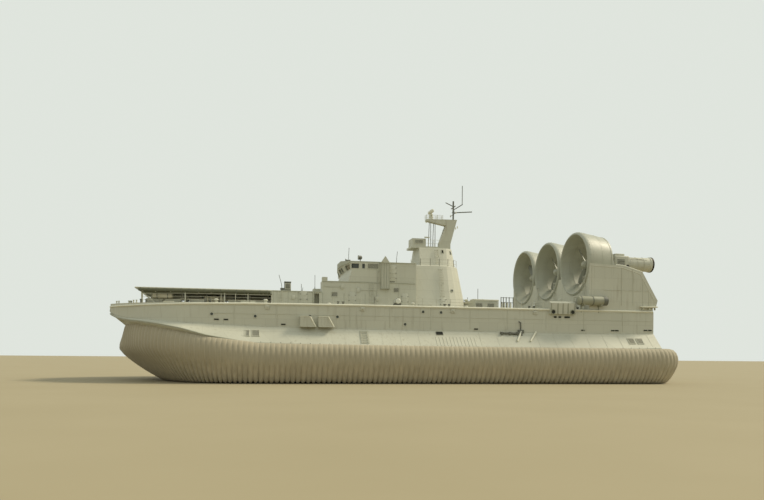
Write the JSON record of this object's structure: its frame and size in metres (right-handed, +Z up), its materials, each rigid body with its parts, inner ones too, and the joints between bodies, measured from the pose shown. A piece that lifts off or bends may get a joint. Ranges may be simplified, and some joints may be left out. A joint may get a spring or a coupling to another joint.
{
  "type": "half-scale model of a landing hovercraft",
  "caption": "Half-scale landing hovercraft with an inflated skirt, bow and stern ramps, a bridge and mast amidships, and ducted propellers aft.",
  "frame": {"origin": "on the ground under the middle of the craft's box", "axes": "+X to the bow, +Y to port, +Z up"},
  "size_m": [28.65, 12.8, 11],
  "materials": {
    "hull_paint": "weathered light grey-green naval paint on aluminium plate",
    "deck_paint": "matte grey-green deck paint",
    "duct_paint": "light grey paint on formed duct skins",
    "skirt_rubber": "dusty rubber-coated skirt fabric",
    "propeller_alloy": "grey coated alloy blades",
    "dark_steel": "dark grey painted steel",
    "white_paint": "white painted casing"
  },
  "bodies": {
    "hull": {"after_deckhouse": "hull_paint", "antenna_pole": "dark_steel", "bow_locker": "hull_paint", "bow_sill": "deck_paint", "bow_skirt": "skirt_rubber", "canopy_roof": "deck_paint", "centre_duct": "duct_paint", "centre_nacelle": "hull_paint", "forward_deckhouse": "hull_paint", "hold_floor": "deck_paint", "hold_roof_deck": "deck_paint", "keel_skirt": "skirt_rubber", "mast": "hull_paint", "mast_platform": "hull_paint", "mast_tower": "hull_paint", "pontoon": "hull_paint", "port_after_hood": "hull_paint", "port_canopy_posts": "hull_paint", "port_duct": "duct_paint", "port_exhaust_casing": "hull_paint", "port_fore_hood": "hull_paint", "port_landing_rail": "dark_steel", "port_nacelle": "hull_paint", "port_side_hull": "hull_paint", "port_side_skirt": "skirt_rubber", "port_side_tank": "hull_paint", "port_stern_side_wall": "hull_paint", "port_vent_trunk": "hull_paint", "starboard_after_hood": "hull_paint", "starboard_canopy_posts": "hull_paint", "starboard_duct": "duct_paint", "starboard_exhaust_casing": "hull_paint", "starboard_fore_hood": "hull_paint", "starboard_landing_rail": "dark_steel", "starboard_nacelle": "hull_paint", "starboard_side_hull": "hull_paint", "starboard_side_skirt": "skirt_rubber", "starboard_side_tank": "hull_paint", "starboard_stern_side_wall": "hull_paint", "starboard_vent_trunk": "hull_paint", "stern_housing": "hull_paint", "stern_skirt": "skirt_rubber", "superstructure": "hull_paint", "upper_house": "hull_paint", "wheelhouse": "hull_paint", "wheelhouse_roof": "deck_paint"},
    "bow_ramp": {"bow_ramp": "hull_paint"},
    "centre_propeller": {"centre_propeller": "propeller_alloy"},
    "centre_rudder_left": {"centre_rudder_left": "duct_paint"},
    "centre_rudder_right": {"centre_rudder_right": "duct_paint"},
    "port_propeller": {"port_propeller": "propeller_alloy"},
    "port_rudder_left": {"port_rudder_left": "duct_paint"},
    "port_rudder_right": {"port_rudder_right": "duct_paint"},
    "radar_scanner": {"radar_scanner": "white_paint"},
    "starboard_propeller": {"starboard_propeller": "propeller_alloy"},
    "starboard_rudder_left": {"starboard_rudder_left": "duct_paint"},
    "starboard_rudder_right": {"starboard_rudder_right": "duct_paint"},
    "stern_ramp": {"stern_ramp": "hull_paint"}
  },
  "joints": [
    {"name": "port_propeller_spin", "type": "hinge", "parent": "hull", "child": "port_propeller", "pos_m": [-10.375, 3.485, 6.295], "axis": [1, 0, 0], "continuous": true},
    {"name": "centre_propeller_spin", "type": "hinge", "parent": "hull", "child": "centre_propeller", "pos_m": [-10.375, 0, 6.295], "axis": [1, 0, 0], "continuous": true},
    {"name": "starboard_propeller_spin", "type": "hinge", "parent": "hull", "child": "starboard_propeller", "pos_m": [-10.375, -3.485, 6.295], "axis": [1, 0, 0], "continuous": true},
    {"name": "port_rudder_left_turn", "type": "hinge", "parent": "hull", "child": "port_rudder_left", "pos_m": [-10.99, 4.16, 6.295], "axis": [0, 0, 1], "range_deg": [-28, 28]},
    {"name": "port_rudder_right_turn", "type": "hinge", "parent": "hull", "child": "port_rudder_right", "pos_m": [-10.99, 2.81, 6.295], "axis": [0, 0, 1], "range_deg": [-28, 28]},
    {"name": "centre_rudder_left_turn", "type": "hinge", "parent": "hull", "child": "centre_rudder_left", "pos_m": [-10.99, 0.675, 6.295], "axis": [0, 0, 1], "range_deg": [-28, 28]},
    {"name": "centre_rudder_right_turn", "type": "hinge", "parent": "hull", "child": "centre_rudder_right", "pos_m": [-10.99, -0.675, 6.295], "axis": [0, 0, 1], "range_deg": [-28, 28]},
    {"name": "starboard_rudder_left_turn", "type": "hinge", "parent": "hull", "child": "starboard_rudder_left", "pos_m": [-10.99, -2.81, 6.295], "axis": [0, 0, 1], "range_deg": [-28, 28]},
    {"name": "starboard_rudder_right_turn", "type": "hinge", "parent": "hull", "child": "starboard_rudder_right", "pos_m": [-10.99, -4.16, 6.295], "axis": [0, 0, 1], "range_deg": [-28, 28]},
    {"name": "bow_ramp_hinge", "type": "hinge", "parent": "hull", "child": "bow_ramp", "pos_m": [13.185, 0, 2.5304], "axis": [0, 1, 0], "range_deg": [0, 58]},
    {"name": "stern_ramp_hinge", "type": "hinge", "parent": "hull", "child": "stern_ramp", "pos_m": [-13.04, 0, 2.0054], "axis": [0, -1, 0], "range_deg": [0, 84]},
    {"name": "radar_turn", "type": "hinge", "parent": "hull", "child": "radar_scanner", "pos_m": [-2.65, 0, 9.225], "axis": [0, 0, 1], "continuous": true}
  ],
  "couplings": [
    {"joint": "port_rudder_right_turn", "follows": "port_rudder_left_turn", "ratio": 1},
    {"joint": "centre_rudder_left_turn", "follows": "port_rudder_left_turn", "ratio": 1},
    {"joint": "centre_rudder_right_turn", "follows": "port_rudder_left_turn", "ratio": 1},
    {"joint": "starboard_rudder_left_turn", "follows": "port_rudder_left_turn", "ratio": 1},
    {"joint": "starboard_rudder_right_turn", "follows": "port_rudder_left_turn", "ratio": 1}
  ]
}
